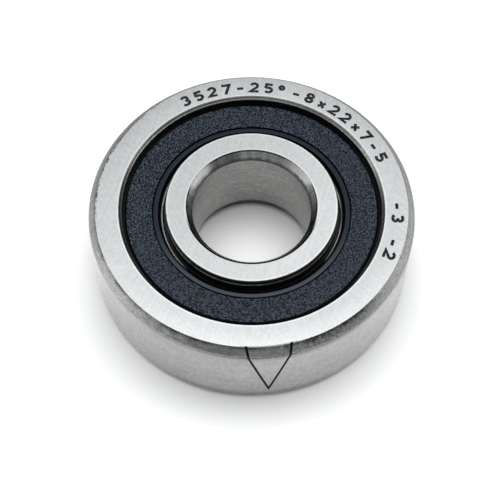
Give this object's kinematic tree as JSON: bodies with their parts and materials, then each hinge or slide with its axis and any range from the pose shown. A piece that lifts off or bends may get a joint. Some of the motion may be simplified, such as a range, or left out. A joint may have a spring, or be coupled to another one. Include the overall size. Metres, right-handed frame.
{
  "type": "angular contact bearing",
  "caption": "Small sealed single-row angular contact ball bearing: the inner ring turns in the outer ring and takes axial load one way, towards the point of the V.",
  "frame": {"origin": "centre of the bearing, on its axis and half way between the side faces", "axes": "+Z along the axis towards the marked side faces; +X and +Y in the plane of the balls, with the V on the outside near -Y"},
  "size_m": [0.022, 0.022, 0.007],
  "materials": {
    "bearing_steel": "ground",
    "seal_stiffener_steel": "rolled sheet",
    "seal_rubber": "moulded, fine grain",
    "cage_phenolic": "machined fabric-reinforced phenolic",
    "ball_ceramic": "polished silicon nitride"
  },
  "bodies": {
    "outer": {"outer_ring": "bearing_steel", "top_seal_stiffener": "seal_stiffener_steel", "top_seal_rubber": "seal_rubber", "bottom_seal_stiffener": "seal_stiffener_steel", "bottom_seal_rubber": "seal_rubber"},
    "inner": {"inner_ring": "bearing_steel"},
    "cage_body": {"cage": "cage_phenolic"},
    "ball_01_body": {"ball_01": "ball_ceramic"},
    "ball_02_body": {"ball_02": "ball_ceramic"},
    "ball_03_body": {"ball_03": "ball_ceramic"},
    "ball_04_body": {"ball_04": "ball_ceramic"},
    "ball_05_body": {"ball_05": "ball_ceramic"},
    "ball_06_body": {"ball_06": "ball_ceramic"},
    "ball_07_body": {"ball_07": "ball_ceramic"},
    "ball_08_body": {"ball_08": "ball_ceramic"},
    "ball_09_body": {"ball_09": "ball_ceramic"},
    "ball_10_body": {"ball_10": "ball_ceramic"},
    "ball_11_body": {"ball_11": "ball_ceramic"},
    "ball_12_body": {"ball_12": "ball_ceramic"},
    "ball_13_body": {"ball_13": "ball_ceramic"}
  },
  "joints": [
    {"name": "inner_ring_spin", "type": "hinge", "parent": "outer", "child": "inner", "pos_m": [0, 0, 0], "axis": [0, 0, 1], "continuous": true},
    {"name": "cage_spin", "type": "hinge", "parent": "outer", "child": "cage_body", "pos_m": [0, 0, 0], "axis": [0, 0, 1], "continuous": true},
    {"name": "ball_01_roll", "type": "hinge", "parent": "cage_body", "child": "ball_01_body", "pos_m": [0.0075, 0, 0], "axis": [0.4226, 0, 0.9063], "continuous": true},
    {"name": "ball_02_roll", "type": "hinge", "parent": "cage_body", "child": "ball_02_body", "pos_m": [0.00664, 0.00349, 0], "axis": [0.3742, 0.1964, 0.9063], "continuous": true},
    {"name": "ball_03_roll", "type": "hinge", "parent": "cage_body", "child": "ball_03_body", "pos_m": [0.00426, 0.00617, 0], "axis": [0.2401, 0.3478, 0.9063], "continuous": true},
    {"name": "ball_04_roll", "type": "hinge", "parent": "cage_body", "child": "ball_04_body", "pos_m": [0.0009, 0.00745, 0], "axis": [0.0509, 0.4195, 0.9063], "continuous": true},
    {"name": "ball_05_roll", "type": "hinge", "parent": "cage_body", "child": "ball_05_body", "pos_m": [-0.00266, 0.00701, 0], "axis": [-0.1499, 0.3952, 0.9063], "continuous": true},
    {"name": "ball_06_roll", "type": "hinge", "parent": "cage_body", "child": "ball_06_body", "pos_m": [-0.00561, 0.00497, 0], "axis": [-0.3163, 0.2802, 0.9063], "continuous": true},
    {"name": "ball_07_roll", "type": "hinge", "parent": "cage_body", "child": "ball_07_body", "pos_m": [-0.00728, 0.00179, 0], "axis": [-0.4103, 0.1011, 0.9063], "continuous": true},
    {"name": "ball_08_roll", "type": "hinge", "parent": "cage_body", "child": "ball_08_body", "pos_m": [-0.00728, -0.00179, 0], "axis": [-0.4103, -0.1011, 0.9063], "continuous": true},
    {"name": "ball_09_roll", "type": "hinge", "parent": "cage_body", "child": "ball_09_body", "pos_m": [-0.00561, -0.00497, 0], "axis": [-0.3163, -0.2802, 0.9063], "continuous": true},
    {"name": "ball_10_roll", "type": "hinge", "parent": "cage_body", "child": "ball_10_body", "pos_m": [-0.00266, -0.00701, 0], "axis": [-0.1499, -0.3952, 0.9063], "continuous": true},
    {"name": "ball_11_roll", "type": "hinge", "parent": "cage_body", "child": "ball_11_body", "pos_m": [0.0009, -0.00745, 0], "axis": [0.0509, -0.4195, 0.9063], "continuous": true},
    {"name": "ball_12_roll", "type": "hinge", "parent": "cage_body", "child": "ball_12_body", "pos_m": [0.00426, -0.00617, 0], "axis": [0.2401, -0.3478, 0.9063], "continuous": true},
    {"name": "ball_13_roll", "type": "hinge", "parent": "cage_body", "child": "ball_13_body", "pos_m": [0.00664, -0.00349, 0], "axis": [0.3742, -0.1964, 0.9063], "continuous": true}
  ],
  "couplings": [
    {"joint": "cage_spin", "follows": "inner_ring_spin", "ratio": 0.41608},
    {"joint": "ball_01_roll", "follows": "inner_ring_spin", "ratio": -2.6237},
    {"joint": "ball_02_roll", "follows": "inner_ring_spin", "ratio": -2.6237},
    {"joint": "ball_03_roll", "follows": "inner_ring_spin", "ratio": -2.6237},
    {"joint": "ball_04_roll", "follows": "inner_ring_spin", "ratio": -2.6237},
    {"joint": "ball_05_roll", "follows": "inner_ring_spin", "ratio": -2.6237},
    {"joint": "ball_06_roll", "follows": "inner_ring_spin", "ratio": -2.6237},
    {"joint": "ball_07_roll", "follows": "inner_ring_spin", "ratio": -2.6237},
    {"joint": "ball_08_roll", "follows": "inner_ring_spin", "ratio": -2.6237},
    {"joint": "ball_09_roll", "follows": "inner_ring_spin", "ratio": -2.6237},
    {"joint": "ball_10_roll", "follows": "inner_ring_spin", "ratio": -2.6237},
    {"joint": "ball_11_roll", "follows": "inner_ring_spin", "ratio": -2.6237},
    {"joint": "ball_12_roll", "follows": "inner_ring_spin", "ratio": -2.6237},
    {"joint": "ball_13_roll", "follows": "inner_ring_spin", "ratio": -2.6237}
  ]
}
